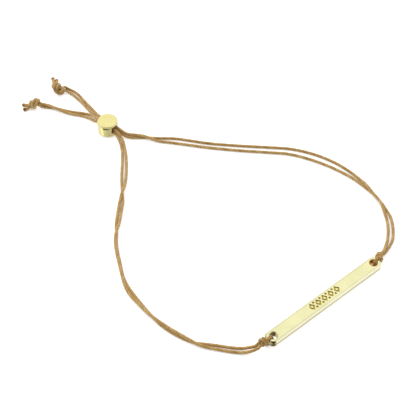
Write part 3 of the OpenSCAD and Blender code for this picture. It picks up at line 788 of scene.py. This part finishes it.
def floor_material():
    m, nodes, links = new_material("table")
    out = nodes.new("ShaderNodeOutputMaterial")
    bsdf = nodes.new("ShaderNodeBsdfPrincipled")
    bsdf.inputs["Base Color"].default_value = (0.50, 0.50, 0.50, 1)
    bsdf.inputs["Emission Color"].default_value = (1.0, 1.0, 1.0, 1)
    # the table glows, and the glow is dimmed near things by ambient occlusion: a painted contact shadow
    near = node(nodes, "ShaderNodeAmbientOcclusion", Distance=0.0009)
    near.samples = 8
    glow = nodes.new("ShaderNodeMapRange")
    links.new(near.outputs["AO"], glow.inputs[0])
    for i, v in ((1, 0.30), (2, 0.85), (3, 0.45), (4, 0.82)):
        glow.inputs[i].default_value = v
    links.new(glow.outputs[0], bsdf.inputs["Emission Strength"])
    # painted shadow: the table under the bar's right hole is given a warm brown shade
    place = nodes.new("ShaderNodeSeparateXYZ")
    links.new(nodes.new("ShaderNodeNewGeometry").outputs["Position"], place.inputs[0])
    beside_x = math_node(nodes, links, "SUBTRACT", place.outputs["X"], 0.0180)
    beside_y = math_node(nodes, links, "ADD", place.outputs["Y"], 0.0404)
    beside = math_node(nodes, links, "SQRT", math_node(nodes, links, "ADD", math_node(nodes, links, "MULTIPLY", beside_x, beside_x),
                                                       math_node(nodes, links, "MULTIPLY", beside_y, beside_y)))
    fade = nodes.new("ShaderNodeMapRange")
    fade.interpolation_type = "SMOOTHSTEP"
    links.new(beside, fade.inputs[0])
    for i, v in ((1, 0.0004), (2, 0.0009), (3, 1.0), (4, 0.0)):
        fade.inputs[i].default_value = v
    painted_hole_shadow = fade.outputs[0]
    links.new(mix_color(nodes, links, painted_hole_shadow, (1.0, 1.0, 1.0, 1), srgb(206, 166, 116)), bsdf.inputs["Emission Color"])
    links.new(mix_color(nodes, links, painted_hole_shadow, (0.5, 0.5, 0.5, 1), srgb(140, 108, 66)), bsdf.inputs["Base Color"])
    bsdf.inputs["Roughness"].default_value = 0.8
    bsdf.inputs["Specular IOR Level"].default_value = 0.1
    links.new(bsdf.outputs[0], out.inputs[0])
    return m


cord_mat = cord_material("waxed_cord")
# painted light and shade: the knots are toned copies of the cord, a little darker in general, the right bar knot
# lighter and the left bar knot darker
knot_mat = cord_material("waxed_cord_knot", tone=0.95)
tip_mat = cord_material("waxed_cord_tip", tip=True)
loop_mat = cord_material("waxed_cord_loop", painted_hole_shade=True)
lit_right_knot_mat = cord_material("waxed_cord_right_knot", tone=1.06)
shaded_left_knot_mat = cord_material("waxed_cord_left_knot", tone=0.87)
for n, o in CORD_PIECES.items():
    o.data.materials.append(lit_right_knot_mat if "a_bar_knot" in n else shaded_left_knot_mat if "b_bar_knot" in n
                            else knot_mat if "knot" in n else tip_mat if "_end_" in n else loop_mat if "loop" in n
                            else cord_mat)
bar_mat = gold_material("bar_gold_plate", (230, 226, 176), engraved=True)
bead_mat = gold_material("bead_gold_plate", (230, 219, 152), turned=True)
for n, mat in (("bar", bar_mat), ("slide_bead", bead_mat)):
    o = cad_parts[n]
    if not o.material_slots:
        o.data.materials.append(mat)
    for s in o.material_slots:
        s.material = mat

# ---------------------------------------------------------------- floor, light
bpy.ops.mesh.primitive_plane_add(size=1.6, location=(0, 0, 0))
floor = bpy.context.object
floor.name = "table"
floor.data.materials.append(floor_material())

world = bpy.data.worlds.new("studio")
bpy.context.scene.world = world
world.use_nodes = True
wn, wl = world.node_tree.nodes, world.node_tree.links
wn.clear()
w_out = wn.new("ShaderNodeOutputWorld")
w_bg = wn.new("ShaderNodeBackground")
w_bg.inputs["Strength"].default_value = 1.12
wl.new(w_bg.outputs[0], w_out.inputs[0])
# A white tent: open and dark on one side, and darker towards the table's far edges.
w_dir = wn.new("ShaderNodeTexCoord").outputs["Generated"]
w_dot = wn.new("ShaderNodeVectorMath")
w_dot.operation = "DOT_PRODUCT"
w_dot.inputs[1].default_value = (-0.4417, -0.5366, 0.7190)
wl.new(w_dir, w_dot.inputs[0])
w_open = ramp(wn, wl, w_dot.outputs["Value"], [(0.60, (1, 1, 1, 1)), (0.86, (0.03, 0.03, 0.02, 1))])
w_split = wn.new("ShaderNodeSeparateXYZ")
wl.new(w_dir, w_split.inputs[0])
w_rim = ramp(wn, wl, w_split.outputs["Z"], [(0.0, (0.30, 0.29, 0.26, 1)), (0.12, (0.34, 0.33, 0.30, 1)),
                                              (0.34, (1, 1, 1, 1))])
wl.new(mix_color(wn, wl, 1.0, w_open, w_rim, "MULTIPLY"), w_bg.inputs["Color"])


def area(name, at, aim, size, power, color=(1, 1, 1)):
    light = bpy.data.lights.new(name, "AREA")
    light.shape = "RECTANGLE"
    light.size, light.size_y = size
    light.energy = power
    light.color = color
    o = bpy.data.objects.new(name, light)
    o.location = at
    o.rotation_euler = (Vector(aim) - Vector(at)).to_track_quat("-Z", "Y").to_euler()
    bpy.context.scene.collection.objects.link(o)
    return o


key = area("key", (-0.10, 0.34, 0.60), (0, 0, 0), (0.6, 0.45), 2.0)
key.visible_glossy = False

bpy.context.scene.view_settings.view_transform = "Standard"
bpy.context.scene.view_settings.look = "None"
